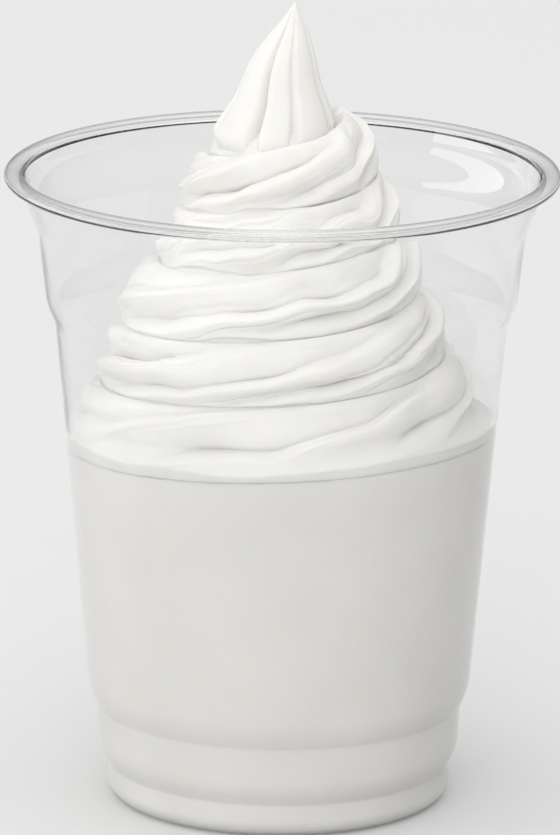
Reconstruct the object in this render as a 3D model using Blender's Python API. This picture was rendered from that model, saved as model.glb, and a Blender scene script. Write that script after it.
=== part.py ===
"""Frozen yogurt in a clear plastic cup.

The cup stands at the world origin on its foot, with +Z up. The cup is filled level,
and a ridged rope of frozen yogurt is coiled up on that and drawn off to a point.
The coil climbs anticlockwise, seen from above. Its front faces -Y.
"""

import math

import bmesh
import bpy
from mathutils import Vector

MM = 0.001
GAP = 0.3 * MM

# Cup: the heights and radii that drive its outline, outside faces
CUP_HEIGHT = 114.0 * MM
RIM_RADIUS = 49.0 * MM
BEAD_WIDTH = 3.5 * MM
BEAD_HEIGHT = 2.3 * MM
WALL = 0.6 * MM
NECK_RADIUS = 45.5 * MM
NECK_Z = 111.2 * MM
COLLAR_TOP_RADIUS = 42.7 * MM
COLLAR_TOP_Z = 101.0 * MM
COLLAR_FOOT_RADIUS = 41.5 * MM
COLLAR_FOOT_Z = 90.2 * MM
SIDE_TOP_RADIUS = 39.9 * MM
SIDE_TOP_Z = 86.6 * MM
SIDE_FOOT_RADIUS = 33.9 * MM
SIDE_FOOT_Z = 19.4 * MM
BAND_RADIUS = 32.5 * MM
BAND_TOP_Z = 16.9 * MM
BAND_FOOT_RADIUS = 32.0 * MM
BAND_FOOT_Z = 8.8 * MM
GROOVE_RADIUS = 30.2 * MM
GROOVE_Z = 6.0 * MM
FOOT_RADIUS = 30.6 * MM
FOOT_ROUNDING = 3.2 * MM
FOOT_RING_WIDTH = 2.2 * MM
RECESS_HEIGHT = 1.4 * MM
ROUND_STEPS = 60
FLARE_STEPS = 4
BEAD_STEPS = 7
FOOT_STEPS = 3

# Filling: height of its level on the axis, and how much that rises along +X and +Y
FILL_LEVEL = 66.3 * MM
LEVEL_SLANT = (0.043, -0.030)
FILL_SPARE = 3.0 * MM

# Coil: reach from the axis and height of the rope's outermost line, at each half turn,
# on the left (-X) first and then on the right (+X), from the bottom up
FIRST_HALF_TURN = -2
HALF_TURNS = (
    (38.8 * MM, 35.0 * MM),
    (38.8 * MM, 40.5 * MM),
    (38.8 * MM, 46.0 * MM),
    (38.8 * MM, 51.5 * MM),
    (38.8 * MM, 57.0 * MM),
    (38.6 * MM, 62.5 * MM),
    (37.2 * MM, 68.2 * MM),
    (34.6 * MM, 73.6 * MM),
    (32.9 * MM, 79.2 * MM),
    (29.5 * MM, 84.9 * MM),
    (29.0 * MM, 89.3 * MM),
    (24.8 * MM, 96.4 * MM),
    (22.2 * MM, 100.1 * MM),
    (20.8 * MM, 106.5 * MM),
    (18.4 * MM, 109.8 * MM),
    (17.0 * MM, 116.2 * MM),
    (12.6 * MM, 115.9 * MM),
    (9.0 * MM, 119.4 * MM),
    (4.8 * MM, 123.0 * MM),
    (3.0 * MM, 126.0 * MM),
    (2.4 * MM, 128.5 * MM),
)
ROPE_HALF_WIDTH = 8.0 * MM
ROPE_HALF_HEIGHT = 7.9 * MM
ROPE_SHARE_OF_REACH = 0.52
ROPE_UNEVENNESS = 0.05
COIL_GROOVE_DEPTH = 0.35 * MM
COIL_GROOVE_OPENING = 0.03
COIL_GROOVE_WAVE = 1.1 * MM
RIDGES_PER_TURN = 5
RIDGES_LEANT_OVER = 2
RIDGE_GROOVE_DEPTH = 0.30
RIDGE_CREST = 0.32
RIDGE_ROUNDING = 0.26
RIDGE_SWEEP = math.radians(16.0)
RIDGE_SWEEP_FROM = math.radians(205.0)
RIDGE_WANDER = math.radians(8.0)
RIDGES_FADE_AT = 14.8
PRESSED_ABOVE_LEVEL = 1.2 * MM
PRESSED_EASE = 3.0 * MM
COLUMNS_PER_RIDGE = 9
ROWS = 12
COLUMNS_PER_TURN = RIDGES_PER_TURN * COLUMNS_PER_RIDGE
COIL_START_Z = 30.0 * MM
COIL_END_Z = 127.0 * MM

# Peak: height, half width and sideways lean of its middle, from the skirt up
PEAK_PROFILE = (
    (117.4 * MM, 8.6 * MM, -1.4 * MM),
    (118.9 * MM, 10.2 * MM, -1.7 * MM),
    (120.9 * MM, 10.6 * MM, -1.6 * MM),
    (123.6 * MM, 9.7 * MM, -1.0 * MM),
    (126.6 * MM, 8.2 * MM, -0.5 * MM),
    (129.6 * MM, 7.0 * MM, -0.4 * MM),
    (132.6 * MM, 6.05 * MM, -0.1 * MM),
    (135.5 * MM, 4.85 * MM, 0.4 * MM),
    (138.5 * MM, 3.2 * MM, 1.1 * MM),
    (141.2 * MM, 1.5 * MM, 1.6 * MM),
)
PEAK_TIP = (2.0 * MM, 0.0, 144.2 * MM)
PEAK_LOBE_WIDTHS = (40.0, 52.0, 55.0, 50.0, 48.0, 50.0, 65.0)
PEAK_LOBE_COLUMNS = 8
PEAK_GROOVE_DEPTHS = (0.39, 0.15, 0.27, 0.34, 0.31, 0.34, 0.34)
PEAK_HEMS = (-1.2 * MM, 1.0 * MM, 0.0, 0.0, 0.0, 0.0, -0.2 * MM)
PEAK_FIRST_GROOVE = -109.0
PEAK_TWIST = -9.0
PEAK_ROOT_Z = 115.0 * MM


def make_material(name, colour, roughness, alpha=1.0):
    """A plain Principled material; alpha below 1 stands for clear plastic."""
    material = bpy.data.materials.new(name)
    material.use_nodes = True
    shader = material.node_tree.nodes["Principled BSDF"]
    shader.inputs["Base Color"].default_value = (*colour, 1.0)
    shader.inputs["Roughness"].default_value = roughness
    shader.inputs["Metallic"].default_value = 0.0
    shader.inputs["Alpha"].default_value = alpha
    return material


def add_object(name, mesh, material):
    """Links a mesh to the scene as a smooth-shaded object with one material."""
    mesh.materials.append(material)
    mesh.shade_smooth()
    mesh.set_sharp_from_angle(angle=math.radians(50.0))
    thing = bpy.data.objects.new(name, mesh)
    bpy.context.collection.objects.link(thing)
    return thing


def arc(centre, radii, start, end, steps):
    """Points of an elliptic arc in the (radius, height) plane, ends included."""
    points = []
    for step in range(steps + 1):
        angle = math.radians(start + (end - start) * step / steps)
        points.append((centre[0] + radii[0] * math.cos(angle), centre[1] + radii[1] * math.sin(angle)))
    return points


def flare():
    """The cup's mouth, which eases out from the collar to the neck in an S curve."""
    points = []
    for step in range(FLARE_STEPS + 1):
        share = step / FLARE_STEPS
        ease = share * share * (3.0 - 2.0 * share)
        radius = NECK_RADIUS + (COLLAR_TOP_RADIUS - NECK_RADIUS) * ease
        points.append((radius, NECK_Z + (COLLAR_TOP_Z - NECK_Z) * share))
    return points


def cup_outline():
    """The cup's outer outline below its bead, from the neck to the middle of the base."""
    ring_outer = FOOT_RADIUS - FOOT_ROUNDING
    ring_inner = ring_outer - FOOT_RING_WIDTH
    return (
        flare()
        + [
            (COLLAR_FOOT_RADIUS, COLLAR_FOOT_Z),
            (SIDE_TOP_RADIUS, SIDE_TOP_Z),
            (SIDE_FOOT_RADIUS, SIDE_FOOT_Z),
            (BAND_RADIUS, BAND_TOP_Z),
            (BAND_FOOT_RADIUS, BAND_FOOT_Z),
            (GROOVE_RADIUS, GROOVE_Z),
        ]
        + arc((ring_outer, FOOT_ROUNDING), (FOOT_ROUNDING, FOOT_ROUNDING), 0.0, -90.0, FOOT_STEPS)
        + [(ring_inner, 0.0), (ring_inner - RECESS_HEIGHT, RECESS_HEIGHT), (0.0, RECESS_HEIGHT)]
    )


def moved_in(outline, distance):
    """The outline moved in by a distance, square to its own line at each point."""
    moved = []
    for place, point in enumerate(outline):
        before = outline[max(place - 1, 0)]
        after = outline[min(place + 1, len(outline) - 1)]
        if place in (0, len(outline) - 1):
            slope = Vector((after[0] - before[0], after[1] - before[1])).normalized()
            shift = Vector((slope.y, -slope.x)) * distance
        else:
            first = Vector((point[0] - before[0], point[1] - before[1])).normalized()
            second = Vector((after[0] - point[0], after[1] - point[1])).normalized()
            along = (first + second).normalized()
            shift = Vector((along.y, -along.x)) * distance / max(along.dot(first), 0.5)
        moved.append((max(point[0] + shift.x, 0.0), point[1] + shift.y))
    return moved


def turn_profile(name, profile, material):
    """Turns an open profile, which ends on the axis at both ends, round +Z."""
    mesh = bpy.data.meshes.new(name)
    points = [(radius, 0.0, height) for radius, height in profile]
    mesh.from_pydata(points, [(place, place + 1) for place in range(len(points) - 1)], [])
    thing = bpy.data.objects.new(name, mesh)
    bpy.context.collection.objects.link(thing)
    screw = thing.modifiers.new("Turned", "SCREW")
    screw.axis = "Z"
    screw.steps = ROUND_STEPS
    screw.render_steps = ROUND_STEPS
    screw.use_merge_vertices = True
    screw.merge_threshold = 0.01 * MM
    screw.use_smooth_shade = True
    mesh.materials.append(material)
    return thing


def make_cup(material):
    """The thin cup, its rolled bead included, as one turned shell."""
    outside = cup_outline()
    inside = moved_in(outside, WALL)
    bead_centre = (RIM_RADIUS - BEAD_WIDTH / 2, CUP_HEIGHT - BEAD_HEIGHT / 2)
    bead = arc(bead_centre, (BEAD_WIDTH / 2, BEAD_HEIGHT / 2), 180.0, -135.0, BEAD_STEPS)
    return turn_profile("cup", list(reversed(inside)) + bead + outside, material)


def level_at(x, y):
    """Height of the filling's slightly slanted level over a place."""
    return FILL_LEVEL + LEVEL_SLANT[0] * x + LEVEL_SLANT[1] * y


def level_block(name, shift):
    """A block wider than the cup, slanted like the level, with its middle moved up from it."""
    block = bmesh.new()
    bmesh.ops.create_cube(block, size=2.0 * RIM_RADIUS)
    for vertex in block.verts:
        vertex.co.z += level_at(vertex.co.x, vertex.co.y) + shift
    return make_guide(name, finished_mesh(name, block))


def make_fill(material):
    """The filling, which meets the cup's inside and has a flat, slightly slanted top."""
    side = moved_in(cup_outline(), WALL + GAP)
    top_z = FILL_LEVEL + FILL_SPARE
    top = [(0.0, top_z), (wall_radius(top_z) - GAP, top_z)]
    below = [point for point in side if point[1] < FILL_LEVEL - MM]
    fill = turn_profile("yogurt_fill", top + below, material)
    cut = fill.modifiers.new("Level", "BOOLEAN")
    cut.operation = "DIFFERENCE"
    cut.object = level_block("over_level", RIM_RADIUS)
    return fill


def wall_radius(height):
    """Radius of the cup's inside on its tapering side, at a height."""
    share = (height - SIDE_FOOT_Z) / (SIDE_TOP_Z - SIDE_FOOT_Z)
    return SIDE_FOOT_RADIUS + (SIDE_TOP_RADIUS - SIDE_FOOT_RADIUS) * share - WALL


def wander(place, seed):
    """A smooth, repeatable unevenness between about -1 and 1."""
    return (
        math.sin(1.3 * place + 2.1 * seed)
        + 0.6 * math.sin(2.9 * place + 4.7 * seed)
        + 0.4 * math.sin(5.3 * place + 1.3 * seed)
    ) / 2.0


def smooth_between(stations, place):
    """Value at a place between evenly spaced stations, on a Catmull-Rom curve."""
    place = min(max(place, 0.0), len(stations) - 1.001)
    first = int(place)
    share = place - first
    before = stations[max(first - 1, 0)]
    start = stations[first]
    end = stations[first + 1]
    after = stations[min(first + 2, len(stations) - 1)]
    slope = end - before
    bend = 2.0 * before - 5.0 * start + 4.0 * end - after
    twist = 3.0 * (start - end) + after - before
    return start + 0.5 * share * (slope + share * (bend + share * twist))


def rope_section(half_turn):
    """The rope's oval section at a place along the coil: centre, half width, half height."""
    place = half_turn - FIRST_HALF_TURN
    reach = smooth_between([station[0] for station in HALF_TURNS], place)
    height = smooth_between([station[1] for station in HALF_TURNS], place)
    most = ROPE_SHARE_OF_REACH * reach
    half_width = min(ROPE_HALF_WIDTH, most) * (1.0 + ROPE_UNEVENNESS * wander(half_turn * 2.0, 1.0))
    half_height = min(ROPE_HALF_HEIGHT, most) * (1.0 + ROPE_UNEVENNESS * wander(half_turn * 1.6, 2.0))
    return Vector((reach - half_width, height)), half_width, half_height


def oval_radius(half_width, half_height, angle):
    """Distance from an oval's centre to its edge, in the direction of the angle."""
    return 1.0 / math.hypot(math.cos(angle) / half_width, math.sin(angle) / half_height)


def reach_on_line(start, direction, centre, half_width, half_height):
    """How far a line from start runs before it leaves the oval."""
    offset = Vector(((start.x - centre.x) / half_width, (start.y - centre.y) / half_height))
    pace = Vector((direction.x / half_width, direction.y / half_height))
    cross = offset.dot(pace)
    spread = cross * cross - pace.dot(pace) * (offset.dot(offset) - 1.0)
    return (math.sqrt(max(spread, 0.0)) - cross) / pace.dot(pace)


def coil_groove(half_turn):
    """Bottom of the groove between the rope here and the rope one turn up."""
    lower, lower_width, lower_height = rope_section(half_turn)
    upper, upper_width, upper_height = rope_section(half_turn + 2.0)
    middle = (lower + upper) / 2.0
    climb = (upper - lower).normalized()
    outward = Vector((climb.y, -climb.x))
    reach = min(
        reach_on_line(middle, outward, lower, lower_width, lower_height),
        reach_on_line(middle, outward, upper, upper_width, upper_height),
    )
    depth = min(COIL_GROOVE_DEPTH * (1.0 + 0.6 * wander(half_turn * 2.3, 3.0)), 0.6 * reach)
    wave = COIL_GROOVE_WAVE * wander(half_turn * 5.0, 11.0)
    return middle + outward * (reach - depth) + Vector((0.0, wave))


def line_limit(centre, other, angle, from_groove):
    """Distance from centre, along the angle, to the middle line between two turns."""
    link = other - centre
    along = math.cos(angle - math.atan2(link.y, link.x))
    if along < 0.05:
        return math.inf
    opening = 1.0 - COIL_GROOVE_OPENING * min(1.0, from_groove / math.radians(20.0))
    return link.length / 2.0 / along * opening


def ridge_fall(share):
    """Depth share below a ridge's crest; share runs from 0 at its upper groove to 1 at its lower one.

    A ridge has a short upper slope, a fairly sharp crest and a long face that leans in below it.
    """
    share = share % 1.0
    if share < RIDGE_CREST:
        fall = 1.0 - share / RIDGE_CREST
    else:
        fall = (share - RIDGE_CREST) / (1.0 - RIDGE_CREST)
    deepest = math.hypot(1.0, RIDGE_ROUNDING) - RIDGE_ROUNDING
    return (math.hypot(fall, RIDGE_ROUNDING) - RIDGE_ROUNDING) / deepest


def ridge_depth(ridge, half_turn):
    """How deep the ridges are cut here, as a share of the rope's thickness."""
    uneven = 1.0 + 0.35 * wander(math.floor(ridge + 0.5) * 2.4, 4.0)
    fade = min(max((RIDGES_FADE_AT - half_turn) / 2.0, 0.15), 1.0)
    return RIDGE_GROOVE_DEPTH * uneven * fade


def pressed_share(azimuth, height):
    """How far the coil's skin is spread out against the cup's wall, from 0 to 1."""
    wall = wall_radius(FILL_LEVEL)
    edge = level_at(wall * math.cos(azimuth), wall * math.sin(azimuth)) + PRESSED_ABOVE_LEVEL
    share = min(max(1.0 - (height - edge) / PRESSED_EASE, 0.0), 1.0)
    return share * share * (3.0 - 2.0 * share)


def skin_radius(half_turn, angle, span, depth):
    """Distance from the rope's middle to its skin, between its two coil grooves.

    span holds the angles of the lower and the upper groove, and depth is how deep
    the ridges are cut here, as a share of the rope's thickness.
    """
    centre, half_width, half_height = rope_section(half_turn)
    above = rope_section(half_turn + 2.0)[0]
    below = rope_section(half_turn - 2.0)[0]
    return min(
        oval_radius(half_width, half_height, angle) * (1.0 - depth),
        line_limit(centre, above, angle, span[1] - angle),
        line_limit(centre, below, angle, angle - span[0]),
    )


def coil_point(column, row):
    """A point on the coil's skin; columns follow the ridges, rows run up across the rope."""
    share = row / ROWS
    ridge = column / COLUMNS_PER_RIDGE
    turns = column / COLUMNS_PER_TURN + RIDGES_LEANT_OVER / RIDGES_PER_TURN * share
    start_azimuth = 2.0 * math.pi * (ridge / RIDGES_PER_TURN + 0.5)
    sweep = RIDGE_SWEEP * math.cos(start_azimuth - RIDGE_SWEEP_FROM) + RIDGE_WANDER * wander(ridge * 1.9, 6.0)
    half_turn = 2.0 * turns + sweep * math.sin(math.pi * share) / math.pi
    centre = rope_section(half_turn)[0]
    groove_above = coil_groove(half_turn) - centre
    groove_below = coil_groove(half_turn - 2.0) - centre
    span = (math.atan2(groove_below.y, groove_below.x), math.atan2(groove_above.y, groove_above.x))
    angle = span[0] + (span[1] - span[0]) * share
    if row == ROWS:
        radius = groove_above.length
    elif row == 0:
        radius = groove_below.length
    else:
        window = min(1.0, 5.0 * share, 5.0 * (1.0 - share))
        depth = ridge_depth(ridge, half_turn) * window * ridge_fall(ridge)
        radius = skin_radius(half_turn, angle, span, depth)
    azimuth = math.pi * (half_turn + 1.0)
    even_height = centre.y + groove_below.y + (groove_above.y - groove_below.y) * share
    pressed = pressed_share(azimuth, even_height)
    height = centre.y + radius * math.sin(angle)
    height += (even_height - height) * pressed
    limit = wall_radius(height) - GAP
    reach = centre.x + radius * math.cos(angle)
    reach = min(reach + (limit - reach) * pressed, limit)
    return Vector((reach * math.cos(azimuth), reach * math.sin(azimuth), height))


def coil_mesh():
    """The coil's outer skin, closed at its start and end by fans to the axis."""
    lean_columns = RIDGES_LEANT_OVER * COLUMNS_PER_RIDGE
    last = (len(HALF_TURNS) - 5) * COLUMNS_PER_TURN // 2 - lean_columns
    shell = bmesh.new()
    grid = {}
    for column in range(last + 1):
        for row in range(ROWS):
            grid[column, row] = shell.verts.new(coil_point(column, row))
    for column in range(last + 1):
        shared = grid.get((column + COLUMNS_PER_TURN + lean_columns, 0))
        grid[column, ROWS] = shared or shell.verts.new(coil_point(column, ROWS))
    for column in range(last):
        for row in range(ROWS):
            near = grid[column, row]
            far = grid[column + 1, row]
            near_up = grid[column, row + 1]
            far_up = grid[column + 1, row + 1]
            shell.faces.new((near, far, near_up))
            shell.faces.new((far, far_up, near_up))
    open_edges = [edge for edge in shell.edges if edge.is_boundary]
    halfway = (COIL_START_Z + COIL_END_Z) / 2.0
    for hub_z in (COIL_START_Z, COIL_END_Z):
        hub = shell.verts.new((0.0, 0.0, hub_z))
        for edge in open_edges:
            if (edge.verts[0].co.z < halfway) == (hub_z < halfway):
                shell.faces.new((edge.verts[0], edge.verts[1], hub))
    return finished_mesh("coil", shell)


def finished_mesh(name, shell):
    """Turns a closed shell's faces outwards and makes a mesh of it."""
    mesh = bpy.data.meshes.new(name)
    bmesh.ops.recalc_face_normals(shell, faces=shell.faces)
    shell.to_mesh(mesh)
    shell.free()
    return mesh


def mixed(values, place):
    """Value at a place between a closed ring's evenly numbered values."""
    first = math.floor(place)
    share = place - first
    return values[first % len(values)] * (1.0 - share) + values[(first + 1) % len(values)] * share


def peak_ring(climb, height, half_width, lean):
    """One outline of the peak; climb runs from 0 at its skirt to 1 near its tip."""
    points = []
    start = PEAK_FIRST_GROOVE + PEAK_TWIST * climb
    for lobe, width in enumerate(PEAK_LOBE_WIDTHS):
        for column in range(PEAK_LOBE_COLUMNS):
            share = column / PEAK_LOBE_COLUMNS
            azimuth = math.radians(start + width * share)
            hem = mixed(PEAK_HEMS, lobe + share - 0.5) * (1.0 - climb) ** 6
            depth = mixed(PEAK_GROOVE_DEPTHS, lobe + share) * (1.0 - 0.45 * climb)
            radius = half_width * (1.0 - depth * lobe_groove(share))
            points.append((lean + radius * math.cos(azimuth), radius * math.sin(azimuth), height + hem))
        start += width
    return points


def lobe_groove(share):
    """Depth share of the narrow groove between two lobes; share runs from 0 to 1 over a lobe."""
    return (0.5 + 0.5 * math.cos(2.0 * math.pi * share)) ** 6


def peak_mesh():
    """The drawn-off peak: lobes with grooves between them, gathered to a tip."""
    shell = bmesh.new()
    count = len(PEAK_LOBE_WIDTHS) * PEAK_LOBE_COLUMNS
    rings = []
    for place, station in enumerate(PEAK_PROFILE):
        climb = place / (len(PEAK_PROFILE) - 1)
        rings.append([shell.verts.new(point) for point in peak_ring(climb, *station)])
    for lower, upper in zip(rings, rings[1:]):
        for place in range(count):
            after = (place + 1) % count
            shell.faces.new((lower[place], lower[after], upper[after], upper[place]))
    tip = shell.verts.new(PEAK_TIP)
    root = shell.verts.new((0.0, 0.0, PEAK_ROOT_Z))
    for place in range(count):
        after = (place + 1) % count
        shell.faces.new((rings[-1][place], rings[-1][after], tip))
        shell.faces.new((rings[0][after], rings[0][place], root))
    return finished_mesh("peak", shell)


def make_guide(name, mesh):
    """An object that only shapes another one."""
    guide = bpy.data.objects.new(name, mesh)
    guide.hide_render = True
    guide.display_type = "WIRE"
    bpy.context.collection.objects.link(guide)
    return guide


def make_swirl(material):
    """The coil and its peak as one solid, flat underneath where it stands on the filling."""
    swirl = add_object("yogurt_swirl", coil_mesh(), material)
    peak = make_guide("peak_shape", peak_mesh())
    joined = swirl.modifiers.new("Peak", "BOOLEAN")
    joined.operation = "UNION"
    joined.object = peak
    cut = swirl.modifiers.new("Level", "BOOLEAN")
    cut.operation = "DIFFERENCE"
    cut.solver = "MANIFOLD"
    cut.object = level_block("under_level", GAP - RIM_RADIUS)
    return swirl


def build():
    """Clears the scene and makes the cup, the filling and the swirl."""
    for thing in list(bpy.data.objects):
        bpy.data.objects.remove(thing)
    clear_plastic = make_material("clear_plastic", (0.95, 0.96, 0.96), 0.05, alpha=0.3)
    yogurt = make_material("frozen_yogurt", (0.94, 0.93, 0.9), 0.45)
    make_cup(clear_plastic)
    make_fill(yogurt)
    make_swirl(yogurt)


build()
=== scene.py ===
import math

import bpy
import numpy as np
from mathutils import Matrix, Vector, noise


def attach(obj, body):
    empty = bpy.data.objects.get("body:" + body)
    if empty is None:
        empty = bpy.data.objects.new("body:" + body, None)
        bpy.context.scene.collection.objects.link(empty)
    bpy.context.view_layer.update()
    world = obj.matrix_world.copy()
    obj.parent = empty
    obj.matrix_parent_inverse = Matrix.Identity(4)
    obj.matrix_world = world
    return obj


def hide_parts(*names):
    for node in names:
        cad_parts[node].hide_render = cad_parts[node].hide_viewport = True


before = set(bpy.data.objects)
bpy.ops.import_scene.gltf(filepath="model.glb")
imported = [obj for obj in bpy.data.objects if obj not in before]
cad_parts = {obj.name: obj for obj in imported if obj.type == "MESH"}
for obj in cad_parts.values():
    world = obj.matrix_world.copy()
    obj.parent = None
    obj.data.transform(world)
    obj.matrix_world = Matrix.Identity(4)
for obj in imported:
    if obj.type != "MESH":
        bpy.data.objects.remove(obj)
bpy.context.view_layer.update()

# The cup is one thin round shell of clear plastic, drawn over a mould from a warm sheet.
# Its edge is rolled outwards into a hollow bead, a shoulder stiffens it below its mouth,
# and it stands on a narrow ring round its raised base.
MM = 0.001
CUP_WALL = 0.6 * MM
CUP_HEIGHT = 114.0 * MM
CUP_RIM_RADIUS = 49.0 * MM
CUP_BEAD_WIDTH = 3.5 * MM
CUP_BEAD_HEIGHT = 2.3 * MM
CUP_BASE = ((0.0, 2.0), (24.1, 2.0), (25.4, 0.6), (27.4, 0.6))
CUP_FOOT_ARC = (27.4, 3.2, 2.6)
CUP_SIDE = ((29.6, 6.2), (31.4, 9.0), (31.9, 17.1), (33.3, 19.6), (39.3, 86.8), (40.9, 90.3))
CUP_COLLAR_TOP = (42.1, 101.0)
CUP_NECK = (44.9, 111.2)
CUP_ROUNDINGS = (
    (0.7, 24.1), (0.6, 25.4), (0.4, 29.6), (1.8, 31.4), (0.3, 31.9), (2.4, 33.3), (1.3, 39.3), (1.3, 40.9),
)
CUP_TURN_STEPS = 192


def curve_points(centre, radii, start, end, steps):
    """Points of an arc in the (radius, height) plane."""
    angles = np.radians(np.linspace(start, end, steps + 1))
    return [(centre[0] + radii[0] * math.cos(a), centre[1] + radii[1] * math.sin(a)) for a in angles]


def cup_inside_line():
    """The cup's inside from the middle of its base to its neck, then round its rolled bead."""
    millimetres = list(CUP_BASE)
    radius, height, rounding = CUP_FOOT_ARC
    millimetres += curve_points((radius, height), (rounding, rounding), -90.0, 0.0, 6)[1:]
    millimetres += list(CUP_SIDE)
    for share in np.linspace(0.0, 1.0, 13):
        ease = share * share * (3.0 - 2.0 * share)
        out = CUP_COLLAR_TOP[0] + (CUP_NECK[0] - CUP_COLLAR_TOP[0]) * ease
        millimetres.append((out, CUP_COLLAR_TOP[1] + (CUP_NECK[1] - CUP_COLLAR_TOP[1]) * share))
    line = [(radius * MM, height * MM) for radius, height in millimetres]
    middle = (CUP_RIM_RADIUS - CUP_BEAD_WIDTH / 2.0, CUP_HEIGHT - CUP_BEAD_HEIGHT / 2.0)
    return line + curve_points(middle, (CUP_BEAD_WIDTH / 2.0, CUP_BEAD_HEIGHT / 2.0), 190.0, -140.0, 22)


def work_on(piece):
    """Leaves only this piece selected, with all of its mesh selected in edit mode."""
    if bpy.context.object and bpy.context.object.mode != "OBJECT":
        bpy.ops.object.mode_set(mode="OBJECT")
    bpy.ops.object.select_all(action="DESELECT")
    bpy.context.view_layer.objects.active = piece
    piece.select_set(True)
    bpy.ops.object.mode_set(mode="EDIT")
    bpy.ops.mesh.select_all(action="SELECT")


def pick_corners(piece, wanted):
    """Selects the mesh's corners whose place passes the test, and nothing else."""
    bpy.ops.mesh.select_all(action="DESELECT")
    bpy.ops.mesh.select_mode(type="VERT")
    bpy.ops.object.mode_set(mode="OBJECT")
    for corner in piece.data.vertices:
        corner.select = wanted(corner.co)
    bpy.ops.object.mode_set(mode="EDIT")


def draw_line(name, line):
    """Draws a turned piece's outline in the XZ plane, one point after another."""
    bpy.ops.object.select_all(action="DESELECT")
    bpy.ops.mesh.primitive_plane_add(size=MM, location=(0.0, 0.0, 0.0))
    piece = bpy.context.object
    piece.name = name
    work_on(piece)
    bpy.ops.mesh.merge(type="CENTER")
    bpy.ops.transform.translate(value=(line[0][0], 0.0, line[0][1]))
    for before, after in zip(line, line[1:]):
        step = (after[0] - before[0], 0.0, after[1] - before[1])
        bpy.ops.mesh.extrude_vertices_move(TRANSFORM_OT_translate={"value": step})
    return piece


cup_inside = draw_line("cup_inside", cup_inside_line())
for rounding, radius in CUP_ROUNDINGS:
    pick_corners(cup_inside, lambda place: abs(place.x - radius * MM) < 0.05 * MM and place.z < 95 * MM)
    bpy.ops.mesh.bevel(offset=rounding * MM, segments=4, affect="VERTICES")
bpy.ops.mesh.select_all(action="SELECT")
bpy.ops.mesh.spin(steps=CUP_TURN_STEPS, angle=2.0 * math.pi, center=(0.0, 0.0, 0.0), axis=(0.0, 0.0, 1.0))
bpy.ops.mesh.select_all(action="SELECT")
bpy.ops.mesh.remove_doubles(threshold=0.002 * MM)
bpy.ops.mesh.normals_make_consistent(inside=True)
bpy.ops.object.mode_set(mode="OBJECT")
bpy.ops.object.duplicate()
cup = bpy.context.object
cup.name = "clear_cup"
thickness = cup.modifiers.new("Wall", "SOLIDIFY")
thickness.thickness = CUP_WALL
thickness.offset = 1.0
thickness.use_even_offset = True
bpy.ops.object.modifier_apply(modifier=thickness.name)
bpy.ops.object.shade_smooth_by_angle(angle=math.radians(40.0))


def new_material(name):
    """A node material with its Principled shader and its Object coordinates."""
    material = bpy.data.materials.new(name)
    material.use_nodes = True
    nodes = material.node_tree.nodes
    shader = nodes["Principled BSDF"]
    place = nodes.new("ShaderNodeTexCoord")
    return material, nodes, material.node_tree.links, shader, place.outputs["Object"]


def add_noise(nodes, links, place, scale, detail, roughness=0.5):
    """A noise pattern of this many features to the metre."""
    noise = nodes.new("ShaderNodeTexNoise")
    noise.inputs["Scale"].default_value = scale
    noise.inputs["Detail"].default_value = detail
    noise.inputs["Roughness"].default_value = roughness
    links.new(place, noise.inputs["Vector"])
    return noise.outputs["Fac"]


def add_range(nodes, links, value, low, high, start=0.3, end=0.7):
    """Spreads the middle of a pattern's values over a range."""
    spread = nodes.new("ShaderNodeMapRange")
    spread.inputs["From Min"].default_value = start
    spread.inputs["From Max"].default_value = end
    spread.inputs["To Min"].default_value = low
    spread.inputs["To Max"].default_value = high
    links.new(value, spread.inputs["Value"])
    return spread.outputs["Result"]


def add_bump(nodes, links, height, strength, distance, under=None):
    """A bump that a pattern raises, on top of another one if there is one."""
    bump = nodes.new("ShaderNodeBump")
    bump.inputs["Strength"].default_value = strength
    bump.inputs["Distance"].default_value = distance
    links.new(height, bump.inputs["Height"])
    if under:
        links.new(under, bump.inputs["Normal"])
    return bump.outputs["Normal"]


clear_plastic, nodes, links, shader, place = new_material("clear_plastic")
shader.inputs["Base Color"].default_value = (0.96, 0.963, 0.963, 1.0)
shader.inputs["Transmission Weight"].default_value = 1.0
shader.inputs["IOR"].default_value = 1.5
haze = add_range(nodes, links, add_noise(nodes, links, place, 90.0, 3.0), 0.015, 0.05)
links.new(haze, shader.inputs["Roughness"])
drawn_sheet = add_bump(nodes, links, add_noise(nodes, links, place, 35.0, 2.0), 0.35, 0.4 * MM)
links.new(drawn_sheet, shader.inputs["Normal"])
lamp_ray = nodes.new("ShaderNodeLightPath")
let_through = nodes.new("ShaderNodeBsdfTransparent")
let_through.inputs["Color"].default_value = (0.96, 0.963, 0.963, 1.0)
either = nodes.new("ShaderNodeMixShader")
links.new(lamp_ray.outputs["Is Shadow Ray"], either.inputs["Fac"])
links.new(shader.outputs["BSDF"], either.inputs[1])
links.new(let_through.outputs["BSDF"], either.inputs[2])
links.new(either.outputs["Shader"], nodes["Material Output"].inputs["Surface"])
cup.data.materials.append(clear_plastic)
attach(cup, "root")
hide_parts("cup")

# The level filling is frozen yogurt run soft into the cup, so it lies against the wall all round.
# It takes the cup's own shape, down into the foot, and it ends in a slightly slanted, wavy line.
# It reaches a little way into the wall, so that no air shows between the two.
FILL_LEVEL = 66.3
FILL_SLANT = (0.043, -0.030)
FILL_INTO_WALL = 0.12 * MM
FILL_EDGE_WAVE = 0.3 * MM
LIGHT_YOGURT = (0.89, 0.877, 0.85)
SHADED_YOGURT = (0.86, 0.847, 0.82)


def wander(place, seed):
    """A smooth, repeatable unevenness between about -1 and 1."""
    return (
        np.sin(1.3 * place + 2.1 * seed)
        + 0.6 * np.sin(2.9 * place + 4.7 * seed)
        + 0.4 * np.sin(5.3 * place + 1.3 * seed)
    ) / 2.0


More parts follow.
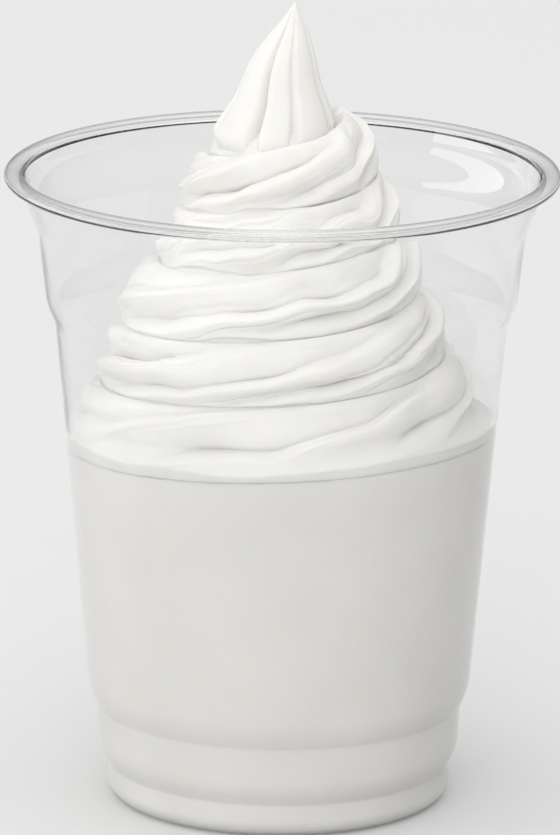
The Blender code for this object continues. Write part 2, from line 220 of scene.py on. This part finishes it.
def level_at(x, y):
    """Height of the filling's slanted level over a place, all in mm."""
    return FILL_LEVEL + FILL_SLANT[0] * x + FILL_SLANT[1] * y


def in_level(place):
    """Whether a corner lies in the filling's level face."""
    return place.z > (level_at(place.x / MM, place.y / MM) - 0.3) * MM


level_way = (-FILL_SLANT[0], -FILL_SLANT[1], 1.0)
fill = cup_inside
fill.name = "level_filling"
work_on(fill)
bpy.ops.mesh.bisect(
    plane_co=(0.0, 0.0, FILL_LEVEL * MM), plane_no=level_way, use_fill=True, clear_outer=True
)
bpy.ops.mesh.select_all(action="SELECT")
bpy.ops.mesh.normals_make_consistent(inside=False)
bpy.ops.transform.shrink_fatten(value=FILL_INTO_WALL)
pick_corners(fill, in_level)
for width in (0.8, 2.5, 6.0):
    bpy.ops.mesh.inset(thickness=width * MM)
bpy.ops.object.mode_set(mode="OBJECT")
for corner in fill.data.vertices:
    if in_level(corner.co) and math.hypot(corner.co.x, corner.co.y) > 36.0 * MM:
        azimuth = math.atan2(corner.co.y, corner.co.x)
        corner.co.z += FILL_EDGE_WAVE * float(wander(3.0 * math.sin(azimuth), 8.0))
bpy.ops.object.select_all(action="DESELECT")
fill.select_set(True)
bpy.context.view_layer.objects.active = fill
bpy.ops.object.shade_smooth_by_angle(angle=math.radians(40.0))


def yogurt_material(name, light, shade, gloss, grain):
    """Frozen yogurt: nearly white, soft where light enters it, finely uneven, and with painted shade towards
    the bottom.
    """
    material, nodes, links, shader, place = new_material(name)
    tone = nodes.new("ShaderNodeMix")
    tone.data_type = "RGBA"
    tone.inputs[6].default_value = (*light, 1.0)
    tone.inputs[7].default_value = (*shade, 1.0)
    patches = add_range(nodes, links, add_noise(nodes, links, place, 70.0, 4.0), 0.0, 1.0)
    links.new(patches, tone.inputs["Factor"])
    parts = nodes.new("ShaderNodeSeparateXYZ")
    links.new(place, parts.inputs["Vector"])
    # Painted shade: the colour darkens towards the bottom, from 92 mm down to 66 mm up, where the cup's wall
    # and the swirl keep light off; the filling below is darkened all over.
    lower = nodes.new("ShaderNodeHueSaturation")
    links.new(tone.outputs[2], lower.inputs["Color"])
    painted_shade_by_height = add_range(nodes, links, parts.outputs["Z"], 0.93, 1.0, 66.0 * MM, 92.0 * MM)
    links.new(painted_shade_by_height, lower.inputs["Value"])
    links.new(lower.outputs["Color"], shader.inputs["Base Color"])
    wet = add_range(nodes, links, add_noise(nodes, links, place, 260.0, 3.0), *gloss)
    links.new(wet, shader.inputs["Roughness"])
    shader.inputs["Specular IOR Level"].default_value = 0.35
    shader.inputs["Subsurface Weight"].default_value = 0.6
    shader.inputs["Subsurface Radius"].default_value = (1.0, 0.85, 0.65)
    shader.inputs["Subsurface Scale"].default_value = 1.4 * MM
    ripples = add_bump(nodes, links, add_noise(nodes, links, place, 500.0, 3.0), grain, 0.25 * MM)
    crystals = add_bump(nodes, links, add_noise(nodes, links, place, 2600.0, 2.0), grain, 0.05 * MM, ripples)
    links.new(crystals, shader.inputs["Normal"])
    return material


fill_yogurt = yogurt_material("yogurt_against_wall", LIGHT_YOGURT, SHADED_YOGURT, (0.3, 0.45), 0.1)
fill.data.materials.append(fill_yogurt)
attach(fill, "root")
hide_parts("yogurt_fill")

# The swirl is frozen yogurt piped from a fluted nozzle: a ridged rope coiled up on the filling.
# Each turn sags on the one below, its flutes leaning along the coil, and the lowest turn presses
# against the wall. It is drawn off upwards into a peak of soft lobes. The reach and the height of
# the rope's outermost line are given at each half turn, on the left first, from below the filling.
COIL_HALF_TURNS = (
    (38.8, 35.0), (38.8, 40.5), (38.8, 46.0), (38.8, 51.5), (38.8, 57.0), (38.6, 62.5), (37.2, 68.2),
    (34.6, 73.6), (32.9, 79.2), (29.5, 84.9), (29.0, 89.3), (24.8, 96.4), (22.2, 100.1), (20.8, 106.5),
    (18.4, 109.8), (17.0, 116.2), (12.6, 115.9), (9.0, 119.4), (4.8, 123.0), (3.0, 126.0), (2.4, 128.5),
)
COIL_FIRST_HALF_TURN = -2
ROPE_HALF_WIDTH = 8.0
ROPE_HALF_HEIGHT = 7.9
ROPE_SHARE_OF_REACH = 0.52
ROPE_UNEVENNESS = 0.05
COIL_GROOVE_DEPTH = 0.35
COIL_GROOVE_OPENING = 0.03
COIL_GROOVE_WAVE = 1.1
FLUTES_PER_TURN = 5
FLUTES_LEANT_OVER = 2
FLUTE_GROOVE_DEPTH = 0.30
FLUTE_CREST = 0.32
FLUTE_ROUNDING = 0.26
FLUTE_SWEEP = math.radians(16.0)
FLUTE_SWEEP_FROM = math.radians(205.0)
FLUTE_WANDER = math.radians(8.0)
FLUTE_RIPPLE = math.radians(3.0)
FLUTE_DRIFT = 0.32
FLUTE_DRIFT_SIZE = 13.0
FLUTES_FADE_AT = 14.8
PRESSED_ABOVE_LEVEL = 1.2
PRESSED_WAVE = 1.2
PRESSED_EASE = 3.0
COLUMNS_PER_FLUTE = 40
COIL_ROWS = 56
COIL_START_Z = 30.0
COIL_END_Z = 127.0
WALL_FOOT = CUP_SIDE[3]
WALL_TOP = CUP_SIDE[4]
INTO_WALL = 0.1


def between_stations(values, place):
    """Values at places between evenly spaced stations, on a smooth curve through them."""
    values = np.asarray(values)
    place = np.clip(place, 0.0, len(values) - 1.001)
    first = place.astype(int)
    share = place - first
    before = values[np.maximum(first - 1, 0)]
    start = values[first]
    end = values[first + 1]
    after = values[np.minimum(first + 2, len(values) - 1)]
    bend = 2.0 * before - 5.0 * start + 4.0 * end - after
    twist = 3.0 * (start - end) + after - before
    return start + 0.5 * share * (end - before + share * (bend + share * twist))


def rope_section(half_turn):
    """The rope's oval section along the coil: its middle, half width and half height."""
    station = half_turn - COIL_FIRST_HALF_TURN
    reach = between_stations([values[0] for values in COIL_HALF_TURNS], station)
    height = between_stations([values[1] for values in COIL_HALF_TURNS], station)
    most = ROPE_SHARE_OF_REACH * reach
    half_width = np.minimum(ROPE_HALF_WIDTH, most) * (1.0 + ROPE_UNEVENNESS * wander(half_turn * 2.0, 1.0))
    half_height = np.minimum(ROPE_HALF_HEIGHT, most) * (1.0 + ROPE_UNEVENNESS * wander(half_turn * 1.6, 2.0))
    return reach - half_width, height, half_width, half_height


def oval_edge(half_width, half_height, angle):
    """How far an oval's edge is from its middle, at an angle."""
    return 1.0 / np.hypot(np.cos(angle) / half_width, np.sin(angle) / half_height)


def line_out(start, way, section):
    """How far a line from start runs before it leaves the rope's oval."""
    middle_x, middle_z, half_width, half_height = section
    offset = ((start[0] - middle_x) / half_width, (start[1] - middle_z) / half_height)
    pace = (way[0] / half_width, way[1] / half_height)
    cross = offset[0] * pace[0] + offset[1] * pace[1]
    pace_square = pace[0] ** 2 + pace[1] ** 2
    spread = cross * cross - pace_square * (offset[0] ** 2 + offset[1] ** 2 - 1.0)
    return (np.sqrt(np.maximum(spread, 0.0)) - cross) / pace_square


def coil_groove(half_turn):
    """Bottom of the groove between the rope here and the rope one turn up."""
    lower = rope_section(half_turn)
    upper = rope_section(half_turn + 2.0)
    middle = ((lower[0] + upper[0]) / 2.0, (lower[1] + upper[1]) / 2.0)
    length = np.hypot(upper[0] - lower[0], upper[1] - lower[1])
    way = ((upper[1] - lower[1]) / length, (lower[0] - upper[0]) / length)
    reach = np.minimum(line_out(middle, way, lower), line_out(middle, way, upper))
    depth = np.minimum(COIL_GROOVE_DEPTH * (1.0 + 0.6 * wander(half_turn * 2.3, 3.0)), 0.6 * reach)
    wave = COIL_GROOVE_WAVE * (wander(half_turn * 5.0, 11.0) + 0.5 * wander(half_turn * 13.0, 12.0))
    return middle[0] + way[0] * (reach - depth), middle[1] + way[1] * (reach - depth) + wave


def next_turn_limit(section, other, angle, from_groove):
    """How far the rope may reach at an angle before it meets the next turn."""
    link = (other[0] - section[0], other[1] - section[1])
    along = np.cos(angle - np.arctan2(link[1], link[0]))
    opening = 1.0 - COIL_GROOVE_OPENING * np.minimum(1.0, from_groove / math.radians(20.0))
    limit = np.hypot(*link) / 2.0 / np.maximum(along, 0.05) * opening
    return np.where(along < 0.05, np.inf, limit)


def flute_fall(share):
    """Depth share below a flute's crest; share runs from 0 at its upper groove to 1 at its lower one.

    A flute has a short upper slope, a fairly sharp crest and a long face that leans in below it.
    """
    share = np.mod(share, 1.0)
    upper_slope = 1.0 - share / FLUTE_CREST
    long_face = (share - FLUTE_CREST) / (1.0 - FLUTE_CREST)
    fall = np.where(share < FLUTE_CREST, upper_slope, long_face)
    deepest = math.hypot(1.0, FLUTE_ROUNDING) - FLUTE_ROUNDING
    return 0.8 * (np.hypot(fall, FLUTE_ROUNDING) - FLUTE_ROUNDING) / deepest + 0.2 * fall ** 8


def wall_radius(height):
    """Radius of the cup's inside on its tapering side, all in mm."""
    share = (height - WALL_FOOT[1]) / (WALL_TOP[1] - WALL_FOOT[1])
    return WALL_FOOT[0] + (WALL_TOP[0] - WALL_FOOT[0]) * share


def lumps(azimuth, height, size, seed):
    """Smooth lumps of a size in mm over the coil, between about -1 and 1."""
    places = np.stack((30.0 * np.cos(azimuth), 30.0 * np.sin(azimuth), height), axis=-1) / size
    return np.array([noise.noise(Vector(place) + Vector((seed, 0.0, 0.0))) for place in places])


def coil_surface(column, row):
    """Places on the coil's skin: columns follow the flutes, rows run up across the rope."""
    share = row / COIL_ROWS
    flute = column / COLUMNS_PER_FLUTE
    turns = flute / FLUTES_PER_TURN + FLUTES_LEANT_OVER / FLUTES_PER_TURN * share
    start_azimuth = 2.0 * math.pi * (flute / FLUTES_PER_TURN + 0.5)
    bow = np.sin(math.pi * share) * (
        FLUTE_SWEEP * np.cos(start_azimuth - FLUTE_SWEEP_FROM)
        + FLUTE_WANDER * wander(flute * 1.9, 6.0)
        + FLUTE_RIPPLE * np.sin(9.0 * share + 2.3 * flute)
    )
    half_turn = 2.0 * turns + bow / math.pi
    section = rope_section(half_turn)
    above = coil_groove(half_turn)
    below = coil_groove(half_turn - 2.0)
    high = np.arctan2(above[1] - section[1], above[0] - section[0])
    low = np.arctan2(below[1] - section[1], below[0] - section[0])
    angle = low + (high - low) * share
    window = np.minimum(1.0, np.minimum(5.0 * share, 5.0 * (1.0 - share)))
    azimuth = math.pi * (half_turn + 1.0)
    depth = FLUTE_GROOVE_DEPTH * (1.0 + 0.35 * wander(np.floor(flute + 0.5) * 2.4, 4.0))
    depth *= 1.0 + 0.9 * lumps(azimuth, section[1], 11.0, 40.0)
    depth *= np.clip((FLUTES_FADE_AT - half_turn) / 2.0, 0.15, 1.0)
    drift = FLUTE_DRIFT * window * lumps(azimuth, section[1] + 6.0 * np.sin(angle), FLUTE_DRIFT_SIZE, 10.0)
    place = flute + drift + 0.12 * wander(flute * 0.9, 6.0)
    crease = 0.06 * np.maximum(0.0, wander(place * 7.1 + 1.5 * share, 9.0)) ** 2
    swell = 0.06 * lumps(azimuth, section[1] + 6.0 * np.sin(angle), 6.0, 20.0)
    cut = window * (depth * flute_fall(place) + crease + swell)
    radius = np.minimum.reduce((
        oval_edge(section[2], section[3], angle) * (1.0 - cut),
        next_turn_limit(section, rope_section(half_turn + 2.0), angle, high - angle),
        next_turn_limit(section, rope_section(half_turn - 2.0), angle, angle - low),
    ))
    radius = np.where(row == 0, np.hypot(below[0] - section[0], below[1] - section[1]), radius)
    radius = np.where(row == COIL_ROWS, np.hypot(above[0] - section[0], above[1] - section[1]), radius)
    even_height = below[1] + (above[1] - below[1]) * share
    wall = wall_radius(FILL_LEVEL)
    pressed_below = level_at(wall * np.cos(azimuth), wall * np.sin(azimuth)) + PRESSED_ABOVE_LEVEL
    pressed_below += PRESSED_WAVE * lumps(azimuth, 0.0 * azimuth, 12.0, 30.0)
    pressed = np.clip(1.0 - (even_height - pressed_below) / PRESSED_EASE, 0.0, 1.0)
    pressed = pressed * pressed * (3.0 - 2.0 * pressed)
    height = section[1] + radius * np.sin(angle)
    height = height + (even_height - height) * pressed
    wall = wall_radius(height)
    reach = section[0] + radius * np.cos(angle)
    reach = reach + (wall + INTO_WALL - reach) * pressed
    reach = np.minimum(reach, wall + INTO_WALL)
    return np.stack((reach * np.cos(azimuth), reach * np.sin(azimuth), height), axis=-1) * MM


coil_flutes = FLUTES_PER_TURN * (len(COIL_HALF_TURNS) - 5) // 2 - FLUTES_LEANT_OVER
coil_columns = coil_flutes * COLUMNS_PER_FLUTE
bpy.ops.object.select_all(action="DESELECT")
bpy.ops.mesh.primitive_grid_add(x_subdivisions=coil_columns, y_subdivisions=COIL_ROWS, size=2.0)
swirl = bpy.context.object
swirl.name = "piped_swirl"
flat = np.empty(len(swirl.data.vertices) * 3)
swirl.data.vertices.foreach_get("co", flat)
flat = flat.reshape(-1, 3)
column = np.round((flat[:, 0] + 1.0) / 2.0 * coil_columns)
row = np.round((flat[:, 1] + 1.0) / 2.0 * COIL_ROWS)
swirl.data.vertices.foreach_set("co", coil_surface(column, row).ravel())
swirl.data.update()
work_on(swirl)
bpy.ops.mesh.quads_convert_to_tris(quad_method="SHORTEST_DIAGONAL")
bpy.ops.mesh.remove_doubles(threshold=0.001 * MM)
halfway = (COIL_START_Z + COIL_END_Z) / 2.0 * MM
for hub_z, lower_end in ((COIL_START_Z, True), (COIL_END_Z, False)):
    bpy.ops.mesh.select_mode(type="EDGE")
    bpy.ops.mesh.select_all(action="DESELECT")
    bpy.ops.mesh.select_non_manifold(extend=False)
    bpy.ops.object.mode_set(mode="OBJECT")
    for edge in swirl.data.edges:
        low = swirl.data.vertices[edge.vertices[0]].co.z < halfway
        edge.select = edge.select and low == lower_end
    bpy.ops.object.mode_set(mode="EDIT")
    bpy.ops.mesh.extrude_edges_move(TRANSFORM_OT_translate={"value": (0.0, 0.0, 0.0)})
    bpy.ops.transform.resize(value=(0.0, 0.0, 0.0), center_override=(0.0, 0.0, hub_z * MM))
    bpy.ops.mesh.remove_doubles(threshold=0.001 * MM)
bpy.ops.mesh.select_all(action="SELECT")
bpy.ops.mesh.normals_make_consistent(inside=False)
bpy.ops.object.mode_set(mode="OBJECT")

PEAK_STATIONS = (
    (117.4, 8.6, -1.4), (118.9, 10.2, -1.7), (120.9, 10.6, -1.6), (123.6, 9.7, -1.0), (126.6, 8.2, -0.5),
    (129.6, 7.0, -0.4), (132.6, 6.05, -0.1), (135.5, 4.85, 0.4), (138.5, 3.2, 1.1), (141.2, 1.5, 1.6),
    (143.2, 0.45, 1.9),
)
PEAK_TIP = (2.0, 144.2)
PEAK_ROOT_Z = 115.0
PEAK_LOBES = (40.0, 52.0, 55.0, 50.0, 48.0, 50.0, 65.0)
PEAK_FIRST_GROOVE = -109.0
PEAK_TWIST = -9.0
PEAK_GROOVE_DEPTH = 0.34
PEAK_GROOVE_SHARES = (1.15, 0.45, 0.8, 1.0, 0.9, 1.0, 1.0)
PEAK_HEMS = (-1.2, 1.0, 0.0, 0.0, 0.0, 0.0, -0.2)
PEAK_SEGMENTS = 168
PEAK_RINGS = 90

bpy.ops.object.select_all(action="DESELECT")
bpy.ops.mesh.primitive_uv_sphere_add(segments=PEAK_SEGMENTS, ring_count=PEAK_RINGS, radius=1.0)
peak = bpy.context.object
peak.name = "peak"
ball = np.empty(len(peak.data.vertices) * 3)
peak.data.vertices.foreach_get("co", ball)
ball = ball.reshape(-1, 3)
climb = 1.0 - np.arccos(np.clip(ball[:, 2], -1.0, 1.0)) / math.pi
ring = np.clip(climb * PEAK_RINGS - 1.0, 0.0, PEAK_RINGS - 2) / (PEAK_RINGS - 2)
around = np.degrees(np.arctan2(ball[:, 1], ball[:, 0]))
station = ring * (len(PEAK_STATIONS) - 1)
height = between_stations([values[0] for values in PEAK_STATIONS], station)
half_width = between_stations([values[1] for values in PEAK_STATIONS], station)
lean = between_stations([values[2] for values in PEAK_STATIONS], station)
turned = np.mod(around - PEAK_FIRST_GROOVE - PEAK_TWIST * ring, 360.0)
starts = np.concatenate(([0.0], np.cumsum(PEAK_LOBES)))
lobe = np.searchsorted(starts, turned, side="right") - 1
lobe = np.clip(lobe, 0, len(PEAK_LOBES) - 1)
across = (turned - starts[lobe]) / np.asarray(PEAK_LOBES)[lobe]
depth = PEAK_GROOVE_DEPTH * (1.0 - 0.45 * ring)
depth *= np.interp(turned, starts[:-1], PEAK_GROOVE_SHARES, period=360.0)
groove = 0.5 + 0.5 * np.cos(2.0 * math.pi * across)
radius = half_width * (1.0 - depth * (0.75 * groove ** 10 + 0.25 * groove ** 45))
middles = starts[:-1] + np.asarray(PEAK_LOBES) / 2.0
height = height + np.interp(turned, middles, PEAK_HEMS, period=360.0) * (1.0 - ring) ** 6
places = np.stack((
    lean + radius * np.cos(np.radians(around)),
    radius * np.sin(np.radians(around)),
    height,
), axis=-1)
places[climb < 0.001] = (0.0, 0.0, PEAK_ROOT_Z)
places[climb > 0.999] = (PEAK_TIP[0], 0.0, PEAK_TIP[1])
peak.data.vertices.foreach_set("co", (places * MM).ravel())
peak.data.update()
bpy.ops.object.select_all(action="DESELECT")
swirl.select_set(True)
bpy.context.view_layer.objects.active = swirl
joined = swirl.modifiers.new("Peak", "BOOLEAN")
joined.operation = "UNION"
joined.solver = "EXACT"
joined.object = peak
bpy.ops.object.modifier_apply(modifier=joined.name)
bpy.data.objects.remove(peak)
work_on(swirl)
bpy.ops.mesh.bisect(
    plane_co=(0.0, 0.0, (FILL_LEVEL - 0.6) * MM), plane_no=level_way, use_fill=True, clear_inner=True
)
bpy.ops.mesh.mark_sharp()
bpy.ops.object.mode_set(mode="OBJECT")
bpy.ops.object.shade_smooth()
piped_yogurt = yogurt_material("piped_yogurt", LIGHT_YOGURT, SHADED_YOGURT, (0.38, 0.55), 0.2)
swirl.data.materials.append(piped_yogurt)
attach(swirl, "root")
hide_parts("yogurt_swirl")

# The cup stands on a plain pale table top in a pale room. A large soft lamp lights it from the
# front, and a long low one on the left shows as a pale crescent inside the cup's mouth.
# The camera looks down on it from the front, as in the photograph.
FLOOR_SIZE = 6.0
CAMERA_PLACE = (-0.00014, -1.450, 0.448)
CAMERA_DOWN = 14.66
CAMERA_ROLL = 0.43
CAMERA_LENS = 365.08
ROOM_BRIGHTNESS = (0.35, 1.2)

bpy.ops.object.select_all(action="DESELECT")
bpy.ops.mesh.primitive_plane_add(size=FLOOR_SIZE)
floor = bpy.context.object
floor.name = "floor"
table_top, nodes, links, shader, place = new_material("table_top")
shader.inputs["Base Color"].default_value = (0.82, 0.82, 0.82, 1.0)
shader.inputs["Roughness"].default_value = 0.7
floor.data.materials.append(table_top)


def add_lamp(name, place, width, height, power):
    """A soft lamp that faces the swirl, and that isn't seen behind the cup or through it."""
    bpy.ops.object.light_add(type="AREA", location=place)
    lamp = bpy.context.object
    lamp.name = name
    lamp.data.shape = "RECTANGLE"
    lamp.data.size = width
    lamp.data.size_y = height
    lamp.data.energy = power
    lamp.visible_camera = False
    lamp.visible_transmission = False
    way = Vector((0.0, 0.0, 0.09)) - Vector(place)
    lamp.rotation_euler = way.to_track_quat("-Z", "Y").to_euler()


add_lamp("front_lamp", (-0.3, -1.95, 0.8), 1.6, 1.6, 13.5)
add_lamp("left_lamp", (-1.7, 0.3, 0.4), 1.8, 0.45, 6.0)
world = bpy.data.worlds.new("pale_room")
bpy.context.scene.world = world
world.use_nodes = True
world.node_tree.nodes["Background"].inputs["Color"].default_value = (1.0, 1.0, 1.0, 1.0)
sky_nodes = world.node_tree.nodes
sky_links = world.node_tree.links
sky_way = sky_nodes.new("ShaderNodeTexCoord")
sky_parts = sky_nodes.new("ShaderNodeSeparateXYZ")
sky_links.new(sky_way.outputs["Generated"], sky_parts.inputs["Vector"])
brightness = add_range(sky_nodes, sky_links, sky_parts.outputs["Z"], *ROOM_BRIGHTNESS, 0.0, 1.0)
sky_links.new(brightness, sky_nodes["Background"].inputs["Strength"])

bpy.ops.object.camera_add()
camera = bpy.context.object
camera.data.sensor_width = 36.0
camera.data.lens = CAMERA_LENS
camera.data.clip_end = 20.0
camera.matrix_world = (
    Matrix.Translation(CAMERA_PLACE)
    @ Matrix.Rotation(math.radians(90.0 - CAMERA_DOWN), 4, "X")
    @ Matrix.Rotation(math.radians(CAMERA_ROLL), 4, "Z")
)
bpy.context.scene.camera = camera
bpy.context.scene.view_settings.view_transform = "Standard"
